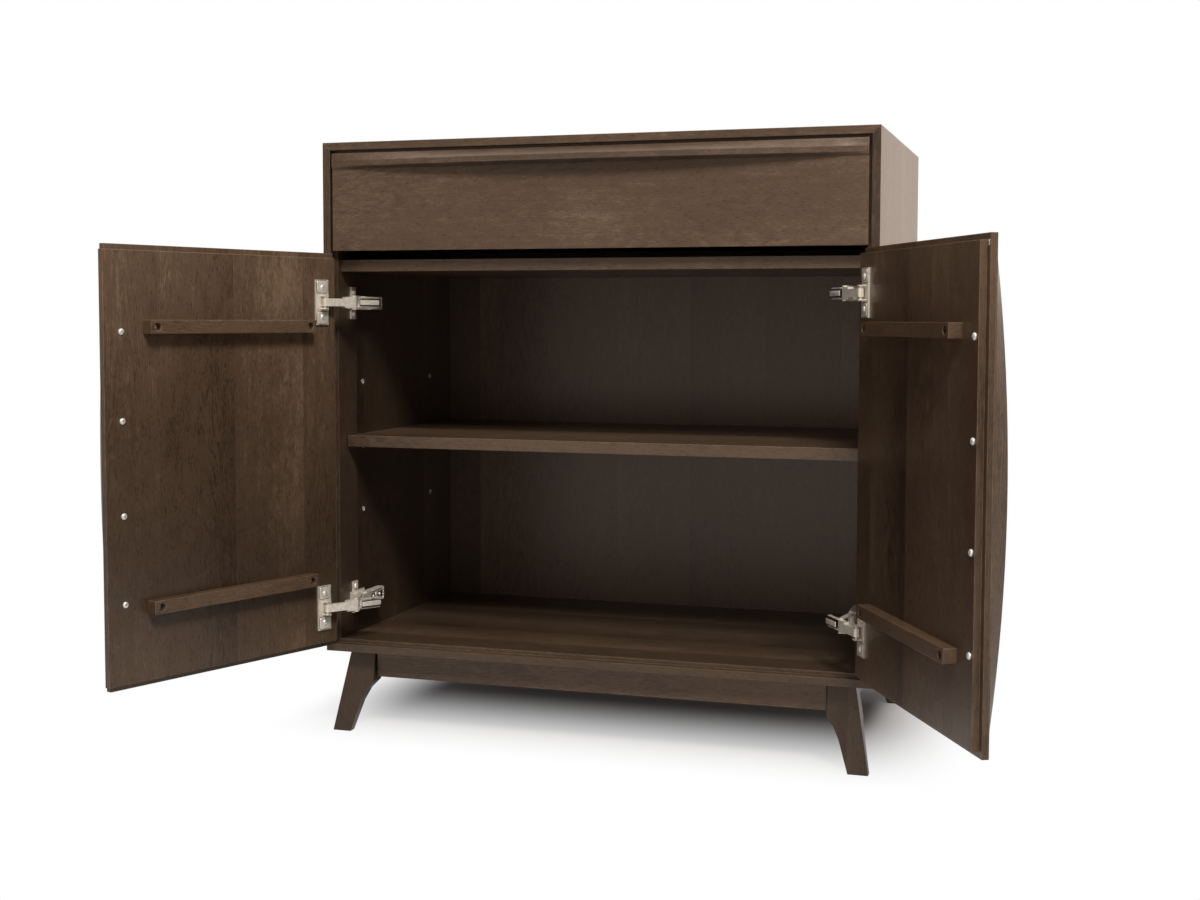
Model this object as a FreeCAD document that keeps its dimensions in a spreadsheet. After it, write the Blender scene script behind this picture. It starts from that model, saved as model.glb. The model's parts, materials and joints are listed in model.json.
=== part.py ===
import FreeCAD, Part
import math
import os
import re
import Sketcher

# A free-standing buffet cabinet with one drawer over two lipped doors, in millimetres.
# X runs across the width, Y from front to back and Z up, from the floor under the middle of the case.
# It is drawn with both doors standing open and the drawer shut.

SIZES = {
    # case
    "width": 914,
    "depth": 500,
    "case_height": 844,
    "leg_height": 136,
    "panel": 19,
    "front_edge": 12.5,
    "rebate_depth": 14,
    "back_thick": 6,
    "back_lap": 8,
    "back_gap": 0.5,
    "back_recess": 4,
    "back_screw_inset": 105,
    # drawer divider and shelf
    "divider_drop": 14,
    "divider_setback": 25.5,
    "shelf_thick": 19,
    "shelf_rise": 321.5,
    "shelf_setback": 43,
    "shelf_side_gap": 1.5,
    "shelf_rear_gap": 4,
    "pin_setback": 104,
    "pin_rear": 110,
    "pin_pitch": 110,
    "pin_diameter": 5,
    "pin_reach": 9,
    "sleeve_diameter": 7,
    "sleeve_length": 10,
    "sleeve_rim": 9,
    "sleeve_rim_thick": 0.6,
    "sleeve_gap": 0.05,
    # legs and aprons
    "leg_top_inset": 32,
    "leg_foot_inset": 8,
    "leg_top_setback": 30,
    "leg_foot_setback": 6,
    "leg_top_width": 43,
    "leg_foot_width": 31.5,
    "leg_thick": 22,
    "leg_foot_thick": 14,
    "knee_drop": 53,
    "knee_turn": 13,
    "knee_turn_in": 11,
    "knee_end_drop": 86,
    "knee_end_in": 20,
    "apron_height": 46,
    "apron_thick": 19,
    "apron_end_gap": 2,
    "apron_setback": 33,
    "side_apron_setback": 44,
    "cleat_width": 20,
    "cleat_thick": 20,
    # drawer
    "drawer_top_gap": 5.5,
    "drawer_side_gap": 4.8,
    "drawer_height": 159,
    "drawer_lip": 9,
    "drawer_core": 10,
    "drawer_core_inset": 8,
    "drawer_box_height": 112,
    "drawer_box_rise": 3,
    "drawer_rear_gap": 46,
    "drawer_side_thick": 13,
    "drawer_bottom_thick": 6,
    "drawer_bottom_rise": 10,
    "drawer_bottom_groove": 6,
    "groove_gap": 0.2,
    # drawer runners
    "runner_space": 13,
    "runner_height": 45,
    "runner_length": 400,
    "runner_setback": 26,
    "runner_sheet": 1.5,
    "runner_flange": 5.5,
    "runner_step": 3,
    "runner_rise": 40,
    # doors
    "outer_layer": 8,
    "inner_layer": 9.5,
    "door_side_gap": 3,
    "inner_side_gap": 2.2,
    "door_top_gap": 4.5,
    "door_foot_gap": 1.5,
    "door_lip": 8.5,
    "meeting_gap": 3,
    "lap": 9.4,
    "lap_end_gap": 3.5,
    "lap_face_gap": 0.6,
    "axis_inset": 12.2,
    "axis_front": 2.5,
    "left_open_angle": 109.95,
    "right_open_angle": 117.95,
    # battens
    "batten_thick": 19,
    "batten_height": 20,
    "batten_start": 56.5,
    "batten_free_gap": 58.5,
    "upper_batten_drop": 119.3,
    "lower_batten_rise": 118,
    "batten_hole_inset": 12,
    "batten_bore": 12,
    "batten_bore_depth": 9,
    # bowed pulls
    "pull_tip": 1.5,
    "pull_slope": 12.5,
    "pull_nose": 9,
    "pull_width": 25.5,
    "pull_bow": 25.5,
    "pull_end_bow": 3,
    "pull_nose_back": 2,
    "pull_root": 1,
    "pull_screw_inset": 20.5,
    "pull_screw_bite": 5,
    "pull_screw_middle": 138,
    "pull_screw_step": 129,
    "drawer_screw_pitch": 220,
    # concealed hinges
    "hinge_far": 80.5,
    "hinge_near": 67,
    "cup_setback": 29,
    "cup_diameter": 26,
    "cup_depth": 11,
    "cup_gap": 0.3,
    "flange_width": 27,
    "flange_height": 73,
    "flange_thick": 3,
    "flange_screw_pitch": 48,
    "pivot_rise": 9.5,
    "cheek_thick": 2,
    "link_gap": 0.4,
    "pivot_diameter": 4,
    "pivot_gap": 0.1,
    "bar_length": 54,
    "bar_angle": 57,
    "bar_thick": 9,
    "bar_width": 12.5,
    "knuckle_width": 18,
    "knuckle_length": 19,
    "arm_length": 80,
    "arm_thick": 12,
    "arm_width": 22,
    "arm_neck": 14,
    "plate_thick": 3,
    "plate_length": 50,
    "plate_width": 20,
    "wing_length": 17,
    "wing_height": 54,
    "wing_setback": 8,
    "wing_line": 66,
    "plate_screw_pitch": 38,
    "plate_screw_bite": 12,
    # screws
    "screw_diameter": 4,
    "screw_gap": 0.1,
    "head_diameter": 9.8,
    "head_height": 2.8,
    "small_head": 7,
    "pilot_depth": 9,
}

doc = FreeCAD.newDocument("buffet_cabinet")
sheet = doc.addObject("Spreadsheet::Sheet", "size")
for row, (alias, number) in enumerate(SIZES.items(), 1):
    sheet.set("A%d" % row, alias)
    sheet.set("B%d" % row, str(number))
    sheet.setAlias("B%d" % row, alias)
doc.recompute()

# Places shared by several pieces, written in the sheet's words
HALF = "(width / 2)"
FRONT = "(-depth / 2)"
BACK = "(depth / 2)"
CASE_UNDER = "leg_height"
CASE_TOP = "(leg_height + case_height)"
INNER = "(width / 2 - panel)"
BACK_FACE = "(depth / 2 - back_recess - back_thick)"
DRAWER_TOP = "(leg_height + case_height - front_edge - drawer_top_gap)"
DRAWER_UNDER = "(leg_height + case_height - front_edge - drawer_top_gap - drawer_height)"
DOOR_FOOT = "(leg_height + front_edge + door_foot_gap)"
DOOR_TOP = "(leg_height + case_height - front_edge - drawer_top_gap - drawer_height - door_top_gap)"
AXIS_X = "(width / 2 - axis_inset)"
AXIS_Y = "(-depth / 2 - axis_front)"
SHANK = "(screw_diameter / 2)"
SHANK_HOLE = "(screw_diameter / 2 + screw_gap)"

SIDES = {"left": -1, "right": 1}
nodes = []


def bound(text):
    """The expression for a text that uses the sheet's names; functions and units stay as they are."""
    def prefixed(word):
        return "size." + word.group() if word.group() in SIZES else word.group()

    return re.sub(r"[a-z_]+", prefixed, text)


def bind(obj, prop, text):
    obj.setExpression(prop, bound(text))


def minus(text):
    return "(-(%s))" % text


def keep(obj, label):
    """Marks a finished object as a sub-part of the cabinet."""
    obj.Label = label
    nodes.append(obj)
    return obj


def at(obj, x="0", y="0", z="0"):
    bind(obj, "Placement.Base.x", x)
    bind(obj, "Placement.Base.y", y)
    bind(obj, "Placement.Base.z", z)
    return obj


def box(name, x, y, z):
    """A block between two faces along each axis."""
    block = doc.addObject("Part::Box", name)
    for prop, (low, high) in (("Length", x), ("Width", y), ("Height", z)):
        bind(block, prop, "(%s) - (%s)" % (high, low))
    return at(block, x[0], y[0], z[0])


TURNS = {
    "+z": (FreeCAD.Vector(1, 0, 0), 0),
    "-z": (FreeCAD.Vector(1, 0, 0), 180),
    "+y": (FreeCAD.Vector(1, 0, 0), -90),
    "-y": (FreeCAD.Vector(1, 0, 0), 90),
    "+x": (FreeCAD.Vector(0, 1, 0), 90),
    "-x": (FreeCAD.Vector(0, 1, 0), -90),
}


def turned(obj, way):
    axis, angle = TURNS[way]
    obj.Placement = FreeCAD.Placement(FreeCAD.Vector(), FreeCAD.Rotation(axis, angle))
    return obj


def rod(name, radius, length, place, way):
    """A cylinder from a point along one of the axes."""
    cylinder = turned(doc.addObject("Part::Cylinder", name), way)
    bind(cylinder, "Radius", radius)
    bind(cylinder, "Height", length)
    return at(cylinder, *place)


def fuse(name, shapes):
    joined = doc.addObject("Part::MultiFuse", name)
    joined.Shapes = shapes
    joined.Refine = True
    return joined


def cut(name, base, tools):
    """The base less its tools; several tools are gathered first."""
    result = doc.addObject("Part::Cut", name)
    result.Base = base
    result.Tool = tools[0] if len(tools) == 1 else group(name + "_tools", tools)
    return result


def group(name, shapes):
    gathered = doc.addObject("Part::Compound", name)
    gathered.Links = shapes
    return gathered


def span(sign, low, high):
    """A stretch measured outward from the middle, or from a hinge, on the left (-1) or right (1)."""
    return (low, high) if sign > 0 else (minus(high), minus(low))


def plane(body, role):
    return next(item for item in body.Origin.OriginFeatures if item.Role == role)


def outline(body, name, role, corners, lift="0"):
    """A closed sketch on one of the body's own planes, each corner held by its two distances."""
    sketch = body.newObject("Sketcher::SketchObject", name)
    sketch.AttachmentSupport = [(plane(body, role), "")]
    sketch.MapMode = "FlatFace"
    bind(sketch, "AttachmentOffset.Base.x", corners[0][0])
    bind(sketch, "AttachmentOffset.Base.y", corners[0][1])
    bind(sketch, "AttachmentOffset.Base.z", lift)
    count = len(corners)
    turns = [2 * math.pi * i / count for i in range(count)]
    guess = [FreeCAD.Vector(math.cos(turn), math.sin(turn), 0) for turn in turns]
    for i in range(count):
        sketch.addGeometry(Part.LineSegment(guess[i], guess[(i + 1) % count]), False)
    for i in range(count):
        sketch.addConstraint(Sketcher.Constraint("Coincident", i, 2, (i + 1) % count, 1))
    sketch.addConstraint(Sketcher.Constraint("Coincident", 0, 1, -1, 1))
    for i in range(1, count):
        for way, place in (("DistanceX", 0), ("DistanceY", 1)):
            here = sketch.addConstraint(Sketcher.Constraint(way, -1, 1, i, 1, 1.0))
            text = "(%s) - (%s)" % (corners[i][place], corners[0][place])
            bind(sketch, "Constraints[%d]" % here, text)
    return sketch


def rectangle(x, y):
    return [(x[0], y[0]), (x[1], y[0]), (x[1], y[1]), (x[0], y[1])]


def pad(body, name, sketch, length):
    feature = body.newObject("PartDesign::Pad", name)
    feature.Profile = sketch
    bind(feature, "Length", length)
    return feature


def screw(name, place, way, length, head="head_diameter"):
    """A pan-head screw whose head's underside is at the place and whose point lies the way named."""
    back = way.translate(str.maketrans("+-", "-+"))
    shank = rod(name + "_shank", SHANK, length, place, way)
    cap = turned(doc.addObject("Part::Cone", name + "_cap"), back)
    bind(cap, "Radius1", head + " / 2")
    bind(cap, "Radius2", head + " / 3")
    bind(cap, "Height", "head_height")
    at(cap, *place)
    return fuse(name, [shank, cap])


# Case: four mitred panels with a rebate round the front and another for the back

def mitred_panel(name, length, angle, x, z):
    """A board mitred at both ends, its outer face up, turned about Y to its side of the case."""
    body = doc.addObject("PartDesign::Body", name)
    half = "(%s / 2)" % length
    inner = half + " - panel"
    section = [(minus(half), "0"), (half, "0"), (inner, "-panel"), (minus(inner), "-panel")]
    blank = pad(body, name + "_blank", outline(body, name + "_section", "XZ_Plane", section), "depth")
    blank.Midplane = True
    rebates = (
        ("front", "depth / 2", ("-panel", "-front_edge"), "rebate_depth", False),
        ("rear", "-depth / 2", ("-panel", "back_lap - panel"), "back_thick + back_recess", True),
    )
    for end, lift, heights, deep, flip in rebates:
        frame = outline(body, name + "_" + end, "XZ_Plane", rectangle((minus(half), half), heights), lift)
        rebate = body.newObject("PartDesign::Pocket", name + "_" + end + "_rebate")
        rebate.Profile = frame
        bind(rebate, "Length", deep)
        rebate.Reversed = flip
    turn = FreeCAD.Rotation(FreeCAD.Vector(0, 1, 0), angle)
    body.Placement = FreeCAD.Placement(FreeCAD.Vector(), turn)
    return at(body, x, "0", z)


MID_HEIGHT = "(leg_height + case_height / 2)"
keep(mitred_panel("top_board", "width", 0, "0", CASE_TOP), "case_top")

# both doors are bored alike, and the right one hangs the other way up
HINGES = {
    "left": {"upper": "(%s - hinge_far)" % DOOR_TOP, "lower": "(%s + hinge_near)" % DOOR_FOOT},
    "right": {"upper": "(%s - hinge_near)" % DOOR_TOP, "lower": "(%s + hinge_far)" % DOOR_FOOT},
}
PIN_ROW = "(leg_height + panel + shelf_rise - pin_diameter / 2)"
PIN_ROWS = [PIN_ROW + " - pin_pitch", PIN_ROW, PIN_ROW + " + pin_pitch"]
PIN_COLUMNS = [FRONT + " + pin_setback", BACK + " - pin_rear"]
WING_Y = "(-depth / 2 + wing_line)"
PLATE_SCREWS = {side: [height + end + "plate_screw_pitch / 2"
                       for height in heights.values() for end in (" + ", " - ")]
                for side, heights in HINGES.items()}
BACK_ROWS = ["(leg_height + back_screw_inset + (case_height - 2 * back_screw_inset) * %d / 3)" % step
             for step in range(4)]
BACK_SCREW_X = "(width / 2 - panel + back_lap / 2)"
CLEAT_X = ("(width / 2 - side_apron_setback - apron_thick - cleat_width)",
           "(width / 2 - side_apron_setback - apron_thick)")
END_APRON_REACH = "(depth / 2 - leg_top_setback - leg_thick)"
CLEAT_REACH = "min(depth / 2 - leg_top_setback - leg_thick; depth / 2 - apron_setback - apron_thick)"
BASE_ROWS = [minus(CLEAT_REACH + " / 2"), "0", CLEAT_REACH + " / 2"]
BASE_SCREW_X = "(width / 2 - side_apron_setback - apron_thick - cleat_width / 2)"
OUTWARD = {-1: "-x", 1: "+x"}


def signed(sign, text):
    return text if sign > 0 else minus(text)


for side, sign in SIDES.items():
    board = mitred_panel(side + "_board", "case_height", 90 * sign, signed(sign, HALF), MID_HEIGHT)
    holes = []
    for row in PIN_ROWS:
        for column in PIN_COLUMNS:
            holes.append(rod("sleeve_hole", "sleeve_diameter / 2 + sleeve_gap", "sleeve_length",
                             (signed(sign, INNER), column, row), OUTWARD[sign]))
    for height in PLATE_SCREWS[side]:
        holes.append(rod("plate_pilot", SHANK_HOLE, "plate_screw_bite + screw_gap",
                         (signed(sign, INNER), WING_Y, height), OUTWARD[sign]))
    for row in BACK_ROWS:
        holes.append(rod("back_pilot", SHANK_HOLE, "pilot_depth + screw_gap",
                         (signed(sign, BACK_SCREW_X), BACK_FACE, row), "-y"))
    keep(cut(side + "_side_bored", board, holes), side + "_side")

floor_board = mitred_panel("floor_board", "width", 180, "0", CASE_UNDER)
floor_holes = [rod("base_pilot", SHANK_HOLE, "pilot_depth + screw_gap",
                   (signed(sign, BASE_SCREW_X), row, CASE_UNDER), "+z")
               for sign in SIDES.values() for row in BASE_ROWS]
keep(cut("floor_bored", floor_board, floor_holes), "case_bottom")

# Back panel, let into the rear rebate and screwed to the sides
BACK_X = "(width / 2 - panel + back_lap - back_gap)"
back_board = box("back_board", (minus(BACK_X), BACK_X), (BACK_FACE, BACK_FACE + " + back_thick"),
                 ("leg_height + panel - back_lap + back_gap", CASE_TOP + " - panel + back_lap - back_gap"))
back_holes = [rod("back_hole", SHANK_HOLE, "back_thick", (signed(sign, BACK_SCREW_X), BACK_FACE, row), "+y")
              for sign in SIDES.values() for row in BACK_ROWS]
keep(cut("back_bored", back_board, back_holes), "back_panel")
back_screws = [screw("back_screw", (signed(sign, BACK_SCREW_X), BACK_FACE + " + back_thick", row), "-y",
                     "back_thick + pilot_depth", "small_head")
               for sign in SIDES.values() for row in BACK_ROWS]
keep(group("back_screw_set", back_screws), "back_screws")

# Divider under the drawer, and the shelf on its pins
keep(box("divider_board", (minus(INNER), INNER), (FRONT + " + divider_setback", BACK_FACE),
         (DRAWER_UNDER + " - divider_drop - panel", DRAWER_UNDER + " - divider_drop")), "drawer_divider")
SHELF_X = "(width / 2 - panel - shelf_side_gap)"
keep(box("shelf_board", (minus(SHELF_X), SHELF_X),
         (FRONT + " + shelf_setback", BACK_FACE + " - shelf_rear_gap"),
         ("leg_height + panel + shelf_rise", "leg_height + panel + shelf_rise + shelf_thick")), "shelf")

sleeves = []
pins = []
for sign in SIDES.values():
    inward = OUTWARD[-sign]
    for row in PIN_ROWS:
        for column in PIN_COLUMNS:
            mouth = (signed(sign, INNER), column, row)
            tube = rod("sleeve_tube", "sleeve_diameter / 2", "sleeve_length", mouth, OUTWARD[sign])
            rim = rod("sleeve_rim", "sleeve_rim / 2", "sleeve_rim_thick", mouth, inward)
            rim_face = (signed(sign, INNER + " - sleeve_rim_thick"), column, row)
            bore = rod("sleeve_bore", "pin_diameter / 2 + sleeve_gap", "sleeve_length + sleeve_rim_thick",
                       rim_face, OUTWARD[sign])
            sleeves.append(cut("sleeve", fuse("sleeve_blank", [tube, rim]), [bore]))
    for column in PIN_COLUMNS:
        tip = (signed(sign, INNER + " - pin_reach"), column, PIN_ROW)
        pins.append(rod("shelf_pin", "pin_diameter / 2", "pin_reach + sleeve_length - sleeve_gap",
                        tip, OUTWARD[sign]))
keep(group("sleeve_set", sleeves), "shelf_pin_sleeves")
keep(group("pin_set", pins), "shelf_pins")


# Base: four splayed legs joined by aprons, with a cleat inside each end screwed up into the case

def leg(name, sign_x, sign_y):
    """A leg that stands straight inside as far as its knee and leans out both ways to its foot."""
    body = doc.addObject("PartDesign::Body", name)
    top_in_x = "(width / 2 - leg_top_inset - leg_top_width)"
    top_in_y = "(depth / 2 - leg_top_setback - leg_thick)"
    foot_in_x = "(width / 2 - leg_foot_inset - leg_foot_width)"
    foot_in_y = "(depth / 2 - leg_foot_setback - leg_foot_thick)"
    sections = (
        ("0", top_in_x, top_in_y),
        ("knee_drop", top_in_x, top_in_y),
        ("(knee_drop + knee_turn)", top_in_x + " + knee_turn_in", top_in_y + " + knee_turn_in"),
        ("knee_end_drop", top_in_x + " + knee_end_in", top_in_y + " + knee_end_in"),
        ("leg_height", foot_in_x, foot_in_y),
    )
    sketches = []
    for number, (drop, in_x, in_y) in enumerate(sections):
        lean = drop + " / leg_height"
        out_x = "(width / 2 - leg_top_inset + (leg_top_inset - leg_foot_inset) * %s)" % lean
        out_y = "(depth / 2 - leg_top_setback + (leg_top_setback - leg_foot_setback) * %s)" % lean
        corners = rectangle(span(sign_x, in_x, out_x), span(sign_y, in_y, out_y))
        section = "%s_section_%d" % (name, number)
        sketches.append(outline(body, section, "XY_Plane", corners, "leg_height - " + drop))
    form = body.newObject("PartDesign::AdditiveLoft", name + "_form")
    form.Profile = sketches[0]
    form.Sections = sketches[1:]
    form.Ruled = True
    return body


ENDS = {"front": -1, "rear": 1}
for end, sign_y in ENDS.items():
    for side, sign_x in SIDES.items():
        keep(leg("%s_%s_post" % (end, side), sign_x, sign_y), "%s_%s_leg" % (end, side))

APRON_Z = ("leg_height - apron_height", CASE_UNDER)
APRON_X = "(width / 2 - leg_top_inset - leg_top_width - apron_end_gap)"
for end, sign_y in ENDS.items():
    apron_y = span(sign_y, "depth / 2 - apron_setback - apron_thick", "depth / 2 - apron_setback")
    keep(box(end + "_rail", (minus(APRON_X), APRON_X), apron_y, APRON_Z), end + "_apron")
cleats = []
base_screws = []
for side, sign in SIDES.items():
    apron_x = span(sign, "width / 2 - side_apron_setback - apron_thick", "width / 2 - side_apron_setback")
    keep(box(side + "_rail", apron_x, (minus(END_APRON_REACH), END_APRON_REACH), APRON_Z), side + "_apron")
    cleat = box("cleat", span(sign, *CLEAT_X), (minus(CLEAT_REACH), CLEAT_REACH),
                ("leg_height - cleat_thick", CASE_UNDER))
    heads = [(signed(sign, BASE_SCREW_X), row, "leg_height - cleat_thick") for row in BASE_ROWS]
    cleat_holes = [rod("cleat_hole", SHANK_HOLE, "cleat_thick", head, "+z") for head in heads]
    cleats.append(cut("cleat_bored", cleat, cleat_holes))
    base_screws += [screw("base_screw", head, "+z", "cleat_thick + pilot_depth") for head in heads]
keep(group("cleat_set", cleats), "base_cleats")
keep(group("base_screw_set", base_screws), "base_screws")


# Bowed pulls: a straight edge, a face that slopes out to a bowed arris, a nose and a sloping underside

def bowed_pull(name, length, place):
    """The pull's solid; place gives a point from its distance along, out and down from the straight edge."""
    tip = sheet.get("pull_tip")
    slope = sheet.get("pull_slope")
    nose_end = slope + sheet.get("pull_nose")
    root = sheet.get("pull_root")
    wide = sheet.get("pull_width")
    bow = sheet.get("pull_bow")
    end_bow = sheet.get("pull_end_bow")
    nose_back = sheet.get("pull_nose_back")
    far = length / 2

    def line(out, down):
        return Part.LineSegment(place(-far, out, down), place(far, out, down)).toShape()

    def arc(end_out, mid_out, down):
        points = [place(-far, end_out, down), place(0, mid_out, down), place(far, end_out, down)]
        return Part.Arc(*points).toShape()

    nose_scale = (bow - nose_back) / bow
    rails = [line(0, 0), line(tip, 0), arc(end_bow, bow, slope),
             arc(end_bow * nose_scale, bow - nose_back, nose_end), line(root, wide), line(0, wide)]
    faces = [Part.makeRuledSurface(rails[i], rails[(i + 1) % len(rails)]) for i in range(len(rails))]
    for end in (0, 1):
        points = [rail.Vertexes[end].Point for rail in rails]
        faces.append(Part.Face(Part.makePolygon(points + points[:1])))
    solid = Part.makeSolid(Part.makeShell(faces))
    if solid.Volume < 0:
        solid.reverse()
    feature = doc.addObject("Part::Feature", name)
    feature.Shape = solid
    return feature


# Drawer: a lipped front with its pull, on a box that runs on two pairs of slides

FRONT_X = "(width / 2 - front_edge - drawer_side_gap)"
FRONT_Z = (DRAWER_UNDER, DRAWER_TOP)
CORE_Y = "(-depth / 2 + drawer_lip + drawer_core)"
CORE_X = "(width / 2 - front_edge - drawer_side_gap - drawer_core_inset)"
PULL_SCREW_Z = FRONT_Z[1] + " - pull_screw_inset"
PULL_SCREWS = 4
ACROSS = [number - (PULL_SCREWS - 1) / 2 for number in range(PULL_SCREWS)]
DRAWER_SCREWS = ["%s * drawer_screw_pitch" % step for step in ACROSS]
lip = box("drawer_lip_board", (minus(FRONT_X), FRONT_X), (FRONT, FRONT + " + drawer_lip"), FRONT_Z)
core = box("drawer_core_board", (minus(CORE_X), CORE_X), (FRONT + " + drawer_lip", CORE_Y),
           (FRONT_Z[0] + " + drawer_core_inset", FRONT_Z[1] + " - drawer_core_inset"))
pull_holes = [rod("drawer_pull_hole", SHANK_HOLE, "drawer_lip + drawer_core", (x, FRONT, PULL_SCREW_Z), "+y")
              for x in DRAWER_SCREWS]
keep(cut("drawer_front_bored", fuse("drawer_front_blank", [lip, core]), pull_holes), "drawer_front")

front_y = -sheet.get("depth") / 2
front_top = (sheet.get("leg_height") + sheet.get("case_height")
             - sheet.get("front_edge") - sheet.get("drawer_top_gap"))
drawer_under = front_top - sheet.get("drawer_height")
front_length = sheet.get("width") - 2 * (sheet.get("front_edge") + sheet.get("drawer_side_gap"))
drawer_pull = bowed_pull("drawer_pull_form", front_length,
                         lambda along, out, down: FreeCAD.Vector(along, front_y - out, front_top - down))
bites = [rod("drawer_pull_bite", SHANK_HOLE, "pull_screw_bite + screw_gap", (x, FRONT, PULL_SCREW_Z), "-y")
         for x in DRAWER_SCREWS]
keep(cut("drawer_pull_bored", drawer_pull, bites), "drawer_pull")
keep(group("drawer_screw_set", [screw("drawer_screw", (x, CORE_Y, PULL_SCREW_Z), "-y",
                                      "drawer_lip + drawer_core + pull_screw_bite") for x in DRAWER_SCREWS]),
     "drawer_pull_screws")

BOX_X = "(width / 2 - panel - runner_space)"
BOX_IN = "(width / 2 - panel - runner_space - drawer_side_thick)"
BOX_Y = (CORE_Y, BACK_FACE + " - drawer_rear_gap")
BOX_IN_Y = (BOX_Y[0] + " + drawer_side_thick", BOX_Y[1] + " - drawer_side_thick")
BOX_Z = (DRAWER_UNDER + " + drawer_box_rise", DRAWER_UNDER + " + drawer_box_rise + drawer_box_height")
TRAY_Z = (BOX_Z[0] + " + drawer_bottom_rise", BOX_Z[0] + " + drawer_bottom_rise + drawer_bottom_thick")
GROOVE_X = BOX_IN + " + drawer_bottom_groove"
GROOVE_Y = (BOX_IN_Y[0] + " - drawer_bottom_groove", BOX_IN_Y[1] + " + drawer_bottom_groove")
boards = {
    "left_side": (span(-1, BOX_IN, BOX_X), BOX_Y),
    "right_side": (span(1, BOX_IN, BOX_X), BOX_Y),
    "inner_front": ((minus(BOX_IN), BOX_IN), (BOX_Y[0], BOX_IN_Y[0])),
    "back": ((minus(BOX_IN), BOX_IN), (BOX_IN_Y[1], BOX_Y[1])),
}
for name, (x, y) in boards.items():
    groove = box("drawer_groove", (minus(GROOVE_X), GROOVE_X), GROOVE_Y,
                 (TRAY_Z[0] + " - groove_gap", TRAY_Z[1] + " + groove_gap"))
    board = box("drawer_%s_board" % name, x, y, BOX_Z)
    keep(cut("drawer_%s_grooved" % name, board, [groove]), "drawer_" + name)
keep(box("drawer_tray", (minus(GROOVE_X + " - groove_gap"), GROOVE_X + " - groove_gap"),
         (GROOVE_Y[0] + " + groove_gap", GROOVE_Y[1] + " - groove_gap"), TRAY_Z), "drawer_bottom")


def channel(name, sign, web, height, way):
    """A slide member: a web with a flange along its top and bottom that point inward (-1) or outward (1)."""
    low, high = web
    tip = (low + " - runner_flange", high) if way < 0 else (low, high + " + runner_flange")
    y = (FRONT + " + runner_setback", FRONT + " + runner_setback + runner_length")
    middle = BOX_Z[0] + " + runner_rise"
    under = middle + " - " + height
    over = middle + " + " + height
    pieces = [box(name + "_web", span(sign, low, high), y, (under, over))]
    pieces.append(box(name + "_head", span(sign, *tip), y, (over + " - runner_sheet", over)))
    pieces.append(box(name + "_sill", span(sign, *tip), y, (under, under + " + runner_sheet")))
    return fuse(name, pieces)


MEMBERS = {
    "case_runners": ((INNER + " - runner_sheet", INNER), "runner_height / 2", -1),
    "middle_runners": ((INNER + " - runner_step - runner_sheet", INNER + " - runner_step"),
                       "(runner_height / 2 - runner_step)", -1),
    "drawer_runners": ((BOX_X, BOX_X + " + runner_sheet"), "(runner_height / 2 - 2 * runner_step)", 1),
}
for label, (web, height, way) in MEMBERS.items():
    members = [channel("%s_%s" % (side, label), sign, web, height, way) for side, sign in SIDES.items()]
    keep(group(label + "_pair", members), label)


# Doors: drawn shut about their hinge axes, then swung open

LAYER = ("axis_front", "(axis_front + outer_layer)", "(axis_front + outer_layer + inner_layer)")
OUTER_X = ("(front_edge + door_side_gap - axis_inset)", "(width / 2 - axis_inset - meeting_gap / 2)")
INNER_EDGE = "(panel + inner_side_gap - axis_inset)"
OUTER_Z = (DOOR_FOOT, DOOR_TOP)
INNER_Z = (OUTER_Z[0] + " + door_lip", OUTER_Z[1] + " - door_lip")
# the left door carries a tongue past its front layer; the right door's front layer laps over it
INNER_FREE = {-1: "(width / 2 - axis_inset - meeting_gap / 2)",
              1: "(width / 2 - axis_inset + meeting_gap / 2 - lap - lap_end_gap)"}
TONGUE_X = ("(width / 2 - axis_inset - meeting_gap / 2)", "(width / 2 - axis_inset - meeting_gap / 2 + lap)")
DOOR_SCREWS = ["(%s + %s) / 2 %s (pull_screw_middle / 2%s)" % (DOOR_FOOT, DOOR_TOP, way, further)
               for way in "+-" for further in ("", " + pull_screw_step")]
PULL_SCREW_X = "(width / 2 - axis_inset - meeting_gap / 2 - pull_screw_inset)"
CUP_X = "(panel + inner_side_gap - axis_inset + cup_setback)"
PIVOT_Y = "(axis_front + outer_layer + inner_layer + pivot_rise)"
BATTENS = {"upper": "(%s - upper_batten_drop)" % DOOR_TOP, "lower": "(%s + lower_batten_rise)" % DOOR_FOOT}
BATTEN_X = (INNER_EDGE + " + batten_start", OUTER_X[1] + " - batten_free_gap")
BATTEN_HOLES = [BATTEN_X[0] + " + batten_hole_inset", BATTEN_X[1] + " - batten_hole_inset"]
FLANGE_SCREWS = {side: [height + end + "flange_screw_pitch / 2"
                        for height in heights.values() for end in (" + ", " - ")]
                 for side, heights in HINGES.items()}


def swing(obj, sign):
    """Sets a piece drawn about the hinge axis in its place with the door open."""
    turn = FreeCAD.Rotation(FreeCAD.Vector(0, 0, sign), 90)
    obj.Placement = FreeCAD.Placement(FreeCAD.Vector(), turn)
    bind(obj, "Placement.Rotation.Angle", "left_open_angle" if sign < 0 else "right_open_angle")
    return at(obj, signed(sign, AXIS_X), AXIS_Y, "0")


def reach(sign, low, high):
    """A stretch along a shut door, measured from its hinge axis towards the middle of the case."""
    return span(-sign, low, high)


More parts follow.
